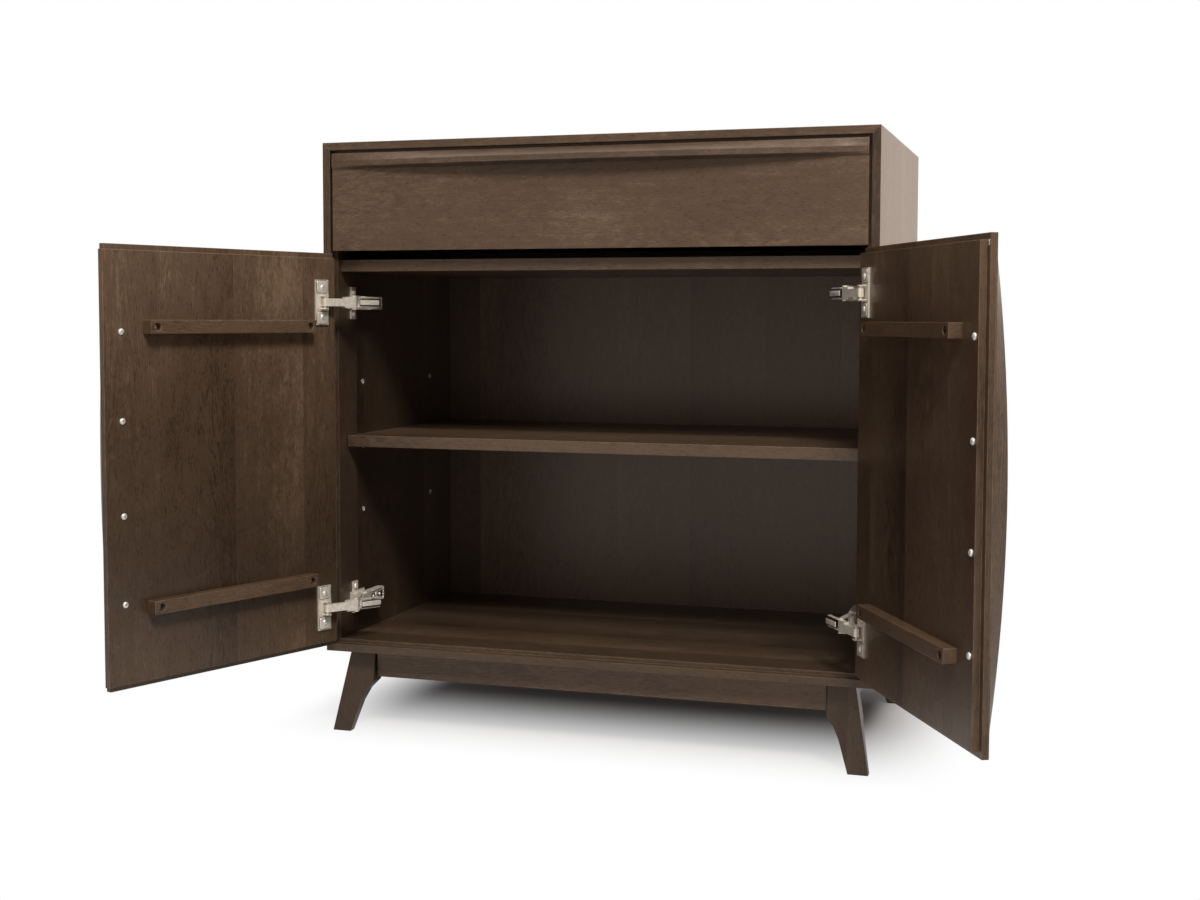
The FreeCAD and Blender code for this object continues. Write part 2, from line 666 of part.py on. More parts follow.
def door(side, sign):
    def along(text):
        return signed(-sign, text)

    front_layer = box(side + "_front_layer", reach(sign, *OUTER_X), LAYER[0:2], OUTER_Z)
    back_layer = box(side + "_back_layer", reach(sign, INNER_EDGE, INNER_FREE[sign]), LAYER[1:3], INNER_Z)
    layers = [front_layer, back_layer]
    if sign < 0:
        layers.append(box(side + "_tongue", TONGUE_X, (LAYER[1] + " + lap_face_gap", LAYER[2]), INNER_Z))
    holes = [rod("pull_hole", SHANK_HOLE, "outer_layer + inner_layer",
                 (along(PULL_SCREW_X), LAYER[0], height), "+y") for height in DOOR_SCREWS]
    for height in HINGES[side].values():
        holes.append(rod("cup_bore", "cup_diameter / 2 + cup_gap", "cup_depth + cup_gap",
                         (along(CUP_X), LAYER[2], height), "-y"))
    pilots = [(along(CUP_X), LAYER[2], height) for height in FLANGE_SCREWS[side]]
    pilots += [(along(x), LAYER[2], height) for height in BATTENS.values() for x in BATTEN_HOLES]
    holes += [rod("door_pilot", SHANK_HOLE, "pilot_depth + screw_gap", pilot, "-y") for pilot in pilots]
    keep(swing(cut(side + "_door_bored", fuse(side + "_door_blank", layers), holes), sign), side + "_door")

    free = sheet.get("width") / 2 - sheet.get("axis_inset") - sheet.get("meeting_gap") / 2
    low = sheet.get("leg_height") + sheet.get("front_edge") + sheet.get("door_foot_gap")
    high = drawer_under - sheet.get("door_top_gap")
    face = sheet.get("axis_front")
    middle = (low + high) / 2
    form = bowed_pull(side + "_pull_form", high - low,
                      lambda far, out, down: FreeCAD.Vector(-sign * (free - down), face - out, middle + far))
    bites = [rod("pull_bite", SHANK_HOLE, "pull_screw_bite + screw_gap",
                 (along(PULL_SCREW_X), LAYER[0], height), "-y") for height in DOOR_SCREWS]
    keep(swing(cut(side + "_pull_bored", form, bites), sign), side + "_door_pull")
    pull_screws = [screw("pull_screw", (along(PULL_SCREW_X), LAYER[2], height), "-y",
                         "outer_layer + inner_layer + pull_screw_bite") for height in DOOR_SCREWS]
    keep(swing(group(side + "_pull_screw_set", pull_screws), sign), side + "_pull_screws")

    batten_screws = []
    for level, height in BATTENS.items():
        bar = box("%s_%s_bar" % (side, level), reach(sign, *BATTEN_X),
                  (LAYER[2], LAYER[2] + " + batten_thick"),
                  (height + " - batten_height / 2", height + " + batten_height / 2"))
        holes = []
        for x in BATTEN_HOLES:
            seat = (along(x), LAYER[2] + " + batten_thick - batten_bore_depth", height)
            holes.append(rod("batten_bore", "batten_bore / 2", "batten_bore_depth", seat, "+y"))
            holes.append(rod("batten_hole", SHANK_HOLE, "batten_thick - batten_bore_depth", seat, "-y"))
            batten_screws.append(screw("batten_screw", seat, "-y",
                                       "batten_thick - batten_bore_depth + pilot_depth", "small_head"))
        bored = cut("%s_%s_bar_bored" % (side, level), bar, holes)
        keep(swing(bored, sign), "%s_door_%s_batten" % (side, level))
    keep(swing(group(side + "_batten_screw_set", batten_screws), sign), side + "_batten_screws")


for side, sign in SIDES.items():
    door(side, sign)


# Hinges: a cup in the door, a bar that keeps its direction, a lever as long as the cup's swing, a fixed arm

PIVOT = "(pivot_diameter / 2)"
PIVOT_HOLE = "(pivot_diameter / 2 + pivot_gap)"
CHEEK = ("(knuckle_width / 2 + link_gap)", "(knuckle_width / 2 + link_gap + cheek_thick)")
SWING_ARM = "sqrt(%s * %s + %s * %s)" % (CUP_X, CUP_X, PIVOT_Y, PIVOT_Y)
SWING_START = "(atan(%s / %s) / 1 deg)" % (PIVOT_Y, CUP_X)
LEVER_X = "(width / 2 - axis_inset - bar_length * cos(bar_angle))"
LEVER_Y = "(-depth / 2 - axis_front + bar_length * sin(bar_angle))"
OPEN = {-1: "left_open_angle", 1: "right_open_angle"}


def cup(name, sign, height):
    x = signed(-sign, CUP_X)
    face = LAYER[2]
    plug = rod(name + "_plug", "cup_diameter / 2", "cup_depth", (x, face, height), "-y")
    flange = box(name + "_flange", (x + " - flange_width / 2", x + " + flange_width / 2"),
                 (face, face + " + flange_thick"),
                 (height + " - flange_height / 2", height + " + flange_height / 2"))
    ears = []
    for end in (1, -1):
        low, high = span(end, *CHEEK)
        ears.append(box(name + "_ear", (x + " - bar_thick / 2", x + " + bar_thick / 2"),
                        (face, PIVOT_Y + " + bar_thick / 2"), (height + " + " + low, height + " + " + high)))
    pin = rod(name + "_pin", PIVOT, "2 * " + CHEEK[1], (x, PIVOT_Y, height + " - " + CHEEK[1]), "+z")
    blank = fuse(name + "_blank", [plug, flange, pin] + ears)
    holes = [rod(name + "_hole", SHANK_HOLE, "flange_thick",
                 (x, face, height + end + "flange_screw_pitch / 2"), "+y")
             for end in (" + ", " - ")]
    return cut(name, blank, holes)


def around(height, size):
    """A stretch of a named size, half above and half below a height."""
    return ("%s - %s / 2" % (height, size), "%s + %s / 2" % (height, size))


def strip(name, x, heights, round_ends):
    """The solids of a flat strip along X, as thick as the bars and rounded at the ends named."""
    low, high = heights
    tall = "(%s) - (%s)" % (high, low)
    web = box(name + "_web", x, ("-bar_thick / 2", "bar_thick / 2"), heights)
    return [web] + [rod(name + "_end", "bar_thick / 2", tall, (end, "0", low), "+z") for end in round_ends]


def eyed(name, solids, ends, heights):
    """A link made of its solids, with an eye for a pin at each end named."""
    low, high = heights
    tall = "(%s) - (%s)" % (high, low)
    eyes = [rod(name + "_eye", PIVOT_HOLE, tall, (end, "0", low), "+z") for end in ends]
    return cut(name, fuse(name + "_blank", solids), eyes)


def bar(name, height):
    """A bar with an eye at each end and a wider knuckle round the far one."""
    ends = ("0", "bar_length")
    wide = around(height, "knuckle_width")
    solids = strip(name, ends, around(height, "bar_width"), ends)
    solids += strip(name + "_knuckle", ("bar_length - knuckle_length", "bar_length"), wide, ("bar_length",))
    return eyed(name, solids, ends, wide)


def lever(name, height):
    """Two cheeks either side of the knuckle, held by the pin through it."""
    cheeks = []
    for end in (1, -1):
        low, high = span(end, *CHEEK)
        heights = (height + " + " + low, height + " + " + high)
        solids = strip(name + "_cheek", ("0", SWING_ARM), heights, ("0", SWING_ARM))
        cheeks.append(eyed(name + "_cheek", solids, ("0",), heights))
    pin = rod(name + "_pin", PIVOT, "2 * " + CHEEK[1], (SWING_ARM, "0", height + " - " + CHEEK[1]), "+z")
    return fuse(name, cheeks + [pin])


def arm(name, sign, height):
    """A fixed arm: a round nose between the lever's cheeks, a neck clear of their swing and a wider body."""
    x = span(sign, LEVER_X + " - arm_thick / 2", LEVER_X + " + arm_thick / 2")
    narrow = around(height, "knuckle_width")
    neck = box(name + "_neck", x, (LEVER_Y, LEVER_Y + " + arm_neck"), narrow)
    body = box(name + "_body", x, (LEVER_Y + " + arm_neck", LEVER_Y + " + arm_length"),
               around(height, "arm_width"))
    pivot_x = signed(sign, LEVER_X)
    nose = rod(name + "_nose", "arm_thick / 2", "knuckle_width", (pivot_x, LEVER_Y, narrow[0]), "+z")
    pin = rod(name + "_pin", PIVOT, "2 * " + CHEEK[1], (pivot_x, LEVER_Y, height + " - " + CHEEK[1]), "+z")
    return fuse(name, [neck, body, nose, pin])


def plate(name, sign, height):
    """A mounting plate with two wings, and a boss that carries the arm clear of the side."""
    start = WING_Y + " - wing_length / 2 - wing_setback"
    y = (start, start + " + plate_length")
    sole = box(name + "_sole", span(sign, INNER + " - plate_thick", INNER), y,
               around(height, "plate_width"))
    boss = box(name + "_boss", span(sign, LEVER_X + " + arm_thick / 2", INNER + " - plate_thick"), y,
               around(height, "bar_width"))
    wing = box(name + "_wing", span(sign, INNER + " - plate_thick", INNER),
               (WING_Y + " - wing_length / 2", WING_Y + " + wing_length / 2"),
               around(height, "wing_height"))
    face_x = signed(sign, INNER + " - plate_thick")
    holes = [rod(name + "_hole", SHANK_HOLE, "plate_thick",
                 (face_x, WING_Y, height + end + "plate_screw_pitch / 2"), OUTWARD[sign])
             for end in (" + ", " - ")]
    return cut(name, fuse(name + "_blank", [sole, boss, wing]), holes)


def hung(obj, x, y, angle):
    """Sets a link in its place, turned about the vertical through its first eye."""
    obj.Placement = FreeCAD.Placement(FreeCAD.Vector(), FreeCAD.Rotation(FreeCAD.Vector(0, 0, 1), 90))
    bind(obj, "Placement.Rotation.Angle", angle)
    return at(obj, x, y, "0")


for side, sign in SIDES.items():
    opened = OPEN[sign]
    cups = [cup("%s_%s_cup" % (side, level), sign, height) for level, height in HINGES[side].items()]
    keep(swing(group(side + "_cup_set", cups), sign), side + "_hinge_cups")
    cup_screws = [screw("cup_screw", (signed(-sign, CUP_X), LAYER[2] + " + flange_thick", height), "-y",
                        "flange_thick + pilot_depth") for height in FLANGE_SCREWS[side]]
    keep(swing(group(side + "_cup_screw_set", cup_screws), sign), side + "_cup_screws")

    pivot_x = "(%s - (%s * cos(%s) + %s * sin(%s)))" % (AXIS_X, CUP_X, opened, PIVOT_Y, opened)
    pivot_y = "(%s - %s * sin(%s) + %s * cos(%s))" % (AXIS_Y, CUP_X, opened, PIVOT_Y, opened)
    bars = [bar("%s_%s_bar_link" % (side, level), height) for level, height in HINGES[side].items()]
    bar_turn = "bar_angle" if sign < 0 else "180 - bar_angle"
    bar_set = group(side + "_bar_set", bars)
    keep(hung(bar_set, signed(sign, pivot_x), pivot_y, bar_turn), side + "_hinge_bars")
    levers = [lever("%s_%s_lever" % (side, level), height) for level, height in HINGES[side].items()]
    lever_turn = "360 + %s - %s" if sign < 0 else "180 - %s + %s"
    lever_turn = lever_turn % (SWING_START, opened)
    lever_set = group(side + "_lever_set", levers)
    keep(hung(lever_set, signed(sign, LEVER_X), LEVER_Y, lever_turn), side + "_hinge_levers")

arms = []
plates = []
plate_screws = []
for side, sign in SIDES.items():
    for level, height in HINGES[side].items():
        arms.append(arm("%s_%s_arm" % (side, level), sign, height))
        plates.append(plate("%s_%s_plate" % (side, level), sign, height))
    plate_face = signed(sign, INNER + " - plate_thick")
    plate_screws += [screw("plate_screw", (plate_face, WING_Y, height), OUTWARD[sign],
                           "plate_thick + plate_screw_bite") for height in PLATE_SCREWS[side]]
keep(group("arm_set", arms), "hinge_arms")
keep(group("plate_set", plates), "hinge_plates")
keep(group("plate_screw_set", plate_screws), "plate_screws")

doc.recompute()


# Nothing is written unless every object and every sub-part is sound
faults = [obj.Name for obj in doc.Objects if "Invalid" in obj.State or "Error" in obj.State]
for node in nodes:
    if node.Shape.isNull() or not node.Shape.isValid() or not node.Shape.Solids:
        faults.append(node.Label)
if faults:
    raise RuntimeError("unsound: " + ", ".join(faults))

os.makedirs("parts", exist_ok=True)
for node in nodes:
    node.Shape.exportStep(os.path.join("parts", node.Label + ".step"))
print(len(nodes), "sub-parts written")
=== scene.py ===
"""The look of a dark-stained buffet cabinet: wood, metal, screw heads, hinge detail, floor, light and camera."""

import json
import math

import bmesh
import bpy
import numpy as np
from mathutils import Matrix, Vector


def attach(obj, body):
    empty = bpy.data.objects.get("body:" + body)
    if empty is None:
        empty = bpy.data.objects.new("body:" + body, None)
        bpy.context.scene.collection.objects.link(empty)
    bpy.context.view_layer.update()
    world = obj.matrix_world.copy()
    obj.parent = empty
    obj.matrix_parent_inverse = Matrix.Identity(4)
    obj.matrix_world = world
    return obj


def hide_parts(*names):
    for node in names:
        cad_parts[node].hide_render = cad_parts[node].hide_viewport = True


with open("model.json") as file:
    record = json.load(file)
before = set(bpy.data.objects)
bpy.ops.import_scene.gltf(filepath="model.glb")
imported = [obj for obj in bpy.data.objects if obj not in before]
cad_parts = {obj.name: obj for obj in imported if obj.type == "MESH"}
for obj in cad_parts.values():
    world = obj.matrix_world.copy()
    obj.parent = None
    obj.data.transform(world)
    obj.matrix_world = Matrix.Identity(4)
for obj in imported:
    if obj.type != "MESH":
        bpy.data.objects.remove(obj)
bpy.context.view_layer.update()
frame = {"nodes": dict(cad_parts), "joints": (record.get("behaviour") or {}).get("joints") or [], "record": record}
nodes = frame["nodes"]
record = frame["record"]
joints = {joint["name"]: joint for joint in frame["joints"]}
body_of_node = {node: body for body, members in record["behaviour"]["bodies"].items() for node in members}
slot_of_node = {entry["node"]: entry["material_slot"] for entry in record["subparts"]}

# Camera: fitted to the case edges of the photograph, which is 1200 x 900 pixels
CAMERA_PLACE = Vector((0.7727, -2.6321, 0.6929))
CAMERA_YAW = math.radians(17.28)
CAMERA_PITCH = math.radians(-3.62)
CAMERA_ROLL = math.radians(0.15)
CAMERA_SENSOR = 36.0
CAMERA_LENS = 47.7
CAMERA_SHIFT = (-0.0045, -0.0257)

# Door angles in the rest pose, which is also how far each door can shut
LEFT_OPEN = math.radians(-joints["left_door_hinge"]["range_deg"][0])
RIGHT_OPEN = math.radians(-joints["right_door_hinge"]["range_deg"][0])

# Stained wood: colours are linear, and scales are per metre along, across and through a board
WOOD_DARK = (0.028, 0.0165, 0.0098)
WOOD_MID = (0.076, 0.0475, 0.0290)
WOOD_LIGHT = (0.150, 0.0990, 0.0640)
# colour of the edges: partly wear of the stain and partly a painted highlight
WOOD_EDGE_WEAR_AND_HIGHLIGHT = (0.230, 0.1620, 0.1120)
WOOD_STOPS = (0.12, 0.54, 0.96)
WOOD_LEVEL = 0.57
GRAIN = {  # scale, detail, roughness and share of the tone
    "cloud": ((3.5, 7.0, 7.0), 2.0, 0.50, 0.55),
    "mottle": ((38.0, 80.0, 80.0), 3.0, 0.60, 0.50),
    "streak": ((9.0, 230.0, 230.0), 4.0, 0.65, 0.36),
    "fibre": ((110.0, 560.0, 560.0), 3.0, 0.70, 0.75),
}
TICK_SCALE = (110.0, 620.0, 620.0)
TICK_RANGE = (0.61, 0.70)
TICK_SHARE = 0.34
STAVE_WIDTH = 0.140
STAVE_STEP = 0.382
STAVE_LIFT = 100.0  # keeps the sum positive for staves with a negative number
STAVE_FADE = 0.85
STAVE_SHARE = 0.26
STAVE_SHIFT = 9.0
SEED_SHIFT = 3.1
RING_WANDER_SCALE = (2.2, 14.0, 14.0)
RING_WANDER = 2.2
RING_ALONG = 2.6
RING_ARCH = 7.0
RING_COUNT = 21.0
RING_THIN = 6.0
RING_PATCH_SCALE = (3.0, 9.0, 9.0)
RING_PATCH_RANGE = (0.42, 0.68)
RING_SHARE = 0.22
EDGE_WEAR_AND_HIGHLIGHT_RANGE = (0.35, 0.70, 0.30, 0.75)
FILM_ROUGH = 0.31
FILM_ROUGH_SPREAD = 0.10
FILM = {
    "Specular IOR Level": 0.45, "Specular Tint": (1.0, 0.82, 0.68, 1.0),
    "Coat Weight": 0.35, "Coat Roughness": 0.28, "Coat Tint": (1.0, 0.97, 0.93, 1.0),
}
FIBRE_RELIEF = 0.5
WOOD_BUMP = (0.08, 0.0003)

# Plain wood of the drawer box
PLAIN_FIGURE_SCALE = (1.5, 26.0, 26.0)
PLAIN_STREAK_SCALE = (9.0, 330.0, 330.0)
PLAIN_PORE_SCALE = (70.0, 1400.0, 1400.0)
PLAIN_PORE_RANGE = (0.64, 0.74)
PLAIN_FIGURE, PLAIN_STREAK, PLAIN_PORE = 0.6, 0.4, 0.10
PLAIN_FIGURE_BEND = 0.6
PLAIN_STOPS = [(0.30, (0.30, 0.185, 0.105)), (0.55, (0.42, 0.285, 0.175)), (0.80, (0.52, 0.375, 0.245))]
PLAIN_ROUGH, PLAIN_ROUGH_SPREAD = 0.46, 0.14

# Plated metal
SCUFF_SCALE = (900.0, 900.0, 160.0)
METAL_CLOUD, METAL_SCUFF = 0.7, 0.3
METAL_STOPS = (0.30, 0.70)
METAL_ROUGH_SPREAD = 0.12
METAL_BUMP = (0.05, 0.0001)

# Eased edges, in metres, and the turn of the normal that counts as an edge
BOARD_EASE = 0.0018
METAL_EASE = 0.0005
EASE_SAMPLES = 6
EASE_TURN = (0.995, 0.80)


# Node trees

class Tree:
    """A material's node tree, with short calls for the nodes that are used here."""

    def __init__(self, name):
        self.material = bpy.data.materials.new(name)
        self.material.use_nodes = True
        self.tree = self.material.node_tree
        self.shader = self.tree.nodes["Principled BSDF"]

    def add(self, kind, **settings):
        node = self.tree.nodes.new(kind)
        for key, value in settings.items():
            setattr(node, key, value)
        return node

    def feed(self, socket, value):
        if isinstance(value, bpy.types.NodeSocket):
            self.tree.links.new(value, socket)
        else:
            socket.default_value = value

    def math(self, operation, first, second=0.0, clamp=False):
        node = self.add("ShaderNodeMath", operation=operation, use_clamp=clamp)
        self.feed(node.inputs[0], first)
        self.feed(node.inputs[1], second)
        return node.outputs[0]

    def ranged(self, value, low, high, to_low=0.0, to_high=1.0, ease="SMOOTHSTEP"):
        node = self.add("ShaderNodeMapRange", interpolation_type=ease)
        for socket, number in zip(node.inputs, (value, low, high, to_low, to_high)):
            self.feed(socket, number)
        return node.outputs[0]

    def scaled(self, vector, scale):
        node = self.add("ShaderNodeVectorMath", operation="MULTIPLY")
        self.feed(node.inputs[0], vector)
        self.feed(node.inputs[1], scale)
        return node.outputs[0]

    def noise(self, vector, scale=1.0, detail=4.0, roughness=0.55, distortion=0.0):
        node = self.add("ShaderNodeTexNoise")
        self.feed(node.inputs["Vector"], vector)
        node.inputs["Scale"].default_value = scale
        node.inputs["Detail"].default_value = detail
        node.inputs["Roughness"].default_value = roughness
        node.inputs["Distortion"].default_value = distortion
        return node.outputs[0]

    def ramp(self, value, stops):
        node = self.add("ShaderNodeValToRGB")
        node.color_ramp.interpolation = "EASE"
        elements = node.color_ramp.elements
        while len(elements) < len(stops):
            elements.new(0.5)
        for element, (place, colour) in zip(elements, stops):
            element.position = place
            element.color = (*colour, 1.0)
        self.feed(node.inputs[0], value)
        return node.outputs[0]

    def mix(self, factor, first, second, blend="MIX"):
        node = self.add("ShaderNodeMix", data_type="RGBA", blend_type=blend)
        self.feed(node.inputs["Factor"], factor)
        for socket, value in ((node.inputs[6], first), (node.inputs[7], second)):
            self.feed(socket, value if isinstance(value, bpy.types.NodeSocket) else (*value, 1.0))
        return node.outputs[2]

    def bump(self, height, strength, distance, normal):
        node = self.add("ShaderNodeBump")
        node.inputs["Strength"].default_value = strength
        node.inputs["Distance"].default_value = distance
        self.feed(node.inputs["Height"], height)
        self.feed(node.inputs["Normal"], normal)
        self.feed(self.shader.inputs["Normal"], node.outputs[0])


def own_axes(tree, place, turn, order):
    """A board's own coordinates: along the grain, across the face and through the thickness."""
    coords = tree.add("ShaderNodeTexCoord")
    mapping = tree.add("ShaderNodeMapping", vector_type="TEXTURE")
    mapping.inputs["Location"].default_value = place
    mapping.inputs["Rotation"].default_value = (0.0, 0.0, turn)
    tree.feed(mapping.inputs["Vector"], coords.outputs["Object"])
    split = tree.add("ShaderNodeSeparateXYZ")
    tree.feed(split.inputs[0], mapping.outputs[0])
    return [split.outputs["XYZ".index(letter)] for letter in order]


def joined(tree, x, y, z):
    node = tree.add("ShaderNodeCombineXYZ")
    for socket, value in zip(node.inputs, (x, y, z)):
        tree.feed(socket, value)
    return node.outputs[0]


def eased(tree, radius):
    """The normal of a face with rounded edges, and a mask that is one near an edge and nothing on the flat."""
    rounded = tree.add("ShaderNodeBevel", samples=EASE_SAMPLES)
    rounded.inputs["Radius"].default_value = radius
    flat = tree.add("ShaderNodeNewGeometry")
    dot = tree.add("ShaderNodeVectorMath", operation="DOT_PRODUCT")
    tree.feed(dot.inputs[0], rounded.outputs[0])
    tree.feed(dot.inputs[1], flat.outputs["Normal"])
    return rounded.outputs[0], tree.ranged(dot.outputs["Value"], *EASE_TURN)


def toned(colour, tone):
    return tuple(channel * tone for channel in colour)


def growth_rings(tree, board, along, from_middle):
    """Growth rings cut at a slant: arches that open along the stave, thin, faint and only in patches."""
    wander = tree.noise(tree.scaled(board, RING_WANDER_SCALE), detail=3.0)
    arch = tree.math("MULTIPLY", tree.math("MULTIPLY", from_middle, from_middle), RING_ARCH)
    ring = tree.math("ADD", tree.math("ADD", tree.math("MULTIPLY", along, RING_ALONG), arch),
                     tree.math("MULTIPLY", wander, RING_WANDER))
    ripple = tree.math("SINE", tree.math("MULTIPLY", ring, RING_COUNT))
    line = tree.math("POWER", tree.math("ABSOLUTE", ripple), RING_THIN)
    patch = tree.noise(tree.scaled(board, RING_PATCH_SCALE), detail=2.0)
    return tree.math("MULTIPLY", line, tree.ranged(patch, *RING_PATCH_RANGE))


def stained_wood(name, order, place=(0.0, 0.0, 0.0), turn=0.0, seed=0.0, tone=1.0, joint=0.0, first=0.5,
                 stave=STAVE_WIDTH, height_shade=()):
    """Dark stained wood: glued staves, faint arched figure, fine fibre, pores, a satin film, and edges made lighter,
    partly by wear of the stain and partly as a painted highlight.

    joint is the place of one glue line across the face, and first the shade, 0 to 1, of the stave beyond it.
    height_shade gives painted shade along the grain, as pairs of a place and a tone that darkens the colour there.
    """
    tree = Tree(name)
    along, across, through = own_axes(tree, place, turn, order)

    # each stave takes its own shade, fades from one joint to the next, and has its own stretch of grain
    staves = tree.math("DIVIDE", tree.math("SUBTRACT", across, joint), stave)
    number = tree.math("MULTIPLY", tree.math("FLOOR", staves), STAVE_STEP)
    stave_shade = tree.math("FRACT", tree.math("ADD", number, first + STAVE_LIFT))
    from_middle = tree.math("SUBTRACT", tree.math("FRACT", staves), 0.5)
    fade = tree.math("MULTIPLY", from_middle, tree.math("SUBTRACT", stave_shade, 0.5))
    offset = tree.math("ADD", tree.math("MULTIPLY", stave_shade, STAVE_SHIFT), seed * SEED_SHIFT)
    board = joined(tree, tree.math("ADD", along, offset), tree.math("ADD", across, offset), through)

    rings = growth_rings(tree, board, along, from_middle)
    ticks = tree.ranged(tree.noise(tree.scaled(board, TICK_SCALE), detail=1.0), *TICK_RANGE)
    layers = {layer: tree.noise(tree.scaled(board, scale), detail=detail, roughness=roughness)
              for layer, (scale, detail, roughness, _) in GRAIN.items()}

    value = tree.math("SUBTRACT", WOOD_LEVEL, tree.math("MULTIPLY", fade, STAVE_FADE))
    shares = [(layers[layer], share) for layer, (*_, share) in GRAIN.items()] + [(stave_shade, STAVE_SHARE)]
    for layer, share in shares:
        value = tree.math("ADD", value, tree.math("MULTIPLY", tree.math("SUBTRACT", layer, 0.5), share))
    for mark, share in ((rings, RING_SHARE), (ticks, TICK_SHARE)):
        value = tree.math("SUBTRACT", value, tree.math("MULTIPLY", mark, share))
    shades = [toned(shade, tone) for shade in (WOOD_DARK, WOOD_MID, WOOD_LIGHT)]
    colour = tree.ramp(value, list(zip(WOOD_STOPS, shades)))

    # painted shade: the colour is darkened along the grain by the given tones
    if height_shade:
        foot, head = height_shade[0][0], height_shade[-1][0]
        stops = [((height - foot) / (head - foot), (shade, shade, shade)) for height, shade in height_shade]
        shaded_along = tree.ramp(tree.ranged(along, foot, head, ease="LINEAR"), stops)
        colour = tree.mix(1.0, colour, shaded_along, "MULTIPLY")

    # edges made lighter where the mottle allows: partly wear of the stain and partly a painted highlight
    normal, near_edge = eased(tree, BOARD_EASE)
    edge_wear_and_highlight = tree.math("MULTIPLY", near_edge, tree.ranged(layers["mottle"], *EDGE_WEAR_AND_HIGHLIGHT_RANGE))
    tree.feed(tree.shader.inputs["Base Color"], tree.mix(edge_wear_and_highlight, colour, toned(WOOD_EDGE_WEAR_AND_HIGHLIGHT, tone)))

    rough = tree.math("ADD", FILM_ROUGH, tree.math("MULTIPLY", layers["streak"], FILM_ROUGH_SPREAD))
    rough = tree.math("ADD", rough, tree.math("MULTIPLY", ticks, FILM_ROUGH_SPREAD))
    tree.feed(tree.shader.inputs["Roughness"], rough)
    for socket, setting in FILM.items():
        tree.shader.inputs[socket].default_value = setting
    fibres = tree.math("ADD", layers["streak"], tree.math("MULTIPLY", layers["fibre"], FIBRE_RELIEF))
    tree.bump(tree.math("SUBTRACT", fibres, ticks), *WOOD_BUMP, normal)
    return tree.material


def plain_wood(name, order):
    """The drawer box and other unseen wood: pale, straight grained and left clear."""
    tree = Tree(name)
    board = joined(tree, *own_axes(tree, (0.0, 0.0, 0.0), 0.0, order))
    figure = tree.noise(tree.scaled(board, PLAIN_FIGURE_SCALE), detail=4.0, distortion=PLAIN_FIGURE_BEND)
    streak = tree.noise(tree.scaled(board, PLAIN_STREAK_SCALE), detail=4.0)
    pores = tree.ranged(tree.noise(tree.scaled(board, PLAIN_PORE_SCALE), detail=1.0), *PLAIN_PORE_RANGE)
    value = tree.math("ADD", tree.math("MULTIPLY", figure, PLAIN_FIGURE), tree.math("MULTIPLY", streak, PLAIN_STREAK))
    value = tree.math("SUBTRACT", value, tree.math("MULTIPLY", pores, PLAIN_PORE))
    tree.feed(tree.shader.inputs["Base Color"], tree.ramp(value, PLAIN_STOPS))
    rough = tree.math("ADD", PLAIN_ROUGH, tree.math("MULTIPLY", streak, PLAIN_ROUGH_SPREAD))
    tree.feed(tree.shader.inputs["Roughness"], rough)
    normal, _ = eased(tree, BOARD_EASE)
    tree.bump(streak, *WOOD_BUMP, normal)
    return tree.material


def plated_metal(name, shades, rough, mottle, metallic):
    """Plated steel: a faint cloudy tone and fine rubbing."""
    tree = Tree(name)
    coords = tree.add("ShaderNodeTexCoord").outputs["Object"]
    cloud = tree.noise(coords, scale=mottle, detail=3.0)
    scuff = tree.noise(tree.scaled(coords, SCUFF_SCALE), detail=4.0, roughness=0.7)
    value = tree.math("ADD", tree.math("MULTIPLY", cloud, METAL_CLOUD), tree.math("MULTIPLY", scuff, METAL_SCUFF))
    tree.feed(tree.shader.inputs["Base Color"], tree.ramp(value, list(zip(METAL_STOPS, shades))))
    tree.shader.inputs["Metallic"].default_value = metallic
    rough = tree.math("ADD", rough, tree.math("MULTIPLY", scuff, METAL_ROUGH_SPREAD))
    tree.feed(tree.shader.inputs["Roughness"], rough)
    normal, _ = eased(tree, METAL_EASE)
    tree.bump(scuff, *METAL_BUMP, normal)
    return tree.material


# Materials by node: the letters give the axes along the grain, across the face and through the board

DOORS = {"left": ((*joints["left_door_hinge"]["pos_m"][:2], 0.0), -LEFT_OPEN),
         "right": ((*joints["right_door_hinge"]["pos_m"][:2], 0.0), RIGHT_OPEN)}
BOARD_AXES = {
    "case_top": "XYZ", "case_bottom": "XYZ", "left_side": "ZYX", "right_side": "ZYX", "back_panel": "ZXY",
    "drawer_divider": "XYZ", "shelf": "XYZ", "drawer_front": "XZY", "drawer_pull": "XZY",
    "front_apron": "XZY", "rear_apron": "XZY", "left_apron": "YZX", "right_apron": "YZX",
    "front_left_leg": "ZXY", "front_right_leg": "ZXY", "rear_left_leg": "ZXY", "rear_right_leg": "ZXY",
}
BOARD_JOINT_STEP = 0.037
BOARD_SHADE_STEP = 0.29
DOOR_AXES = {"door": "ZXY", "door_pull": "ZXY", "door_upper_batten": "XZY", "door_lower_batten": "XZY"}
PLAIN_AXES = {"drawer_left_side": "YZX", "drawer_right_side": "YZX", "drawer_inner_front": "XZY",
              "drawer_back": "XZY", "drawer_bottom": "XYZ", "base_cleats": "YXZ"}

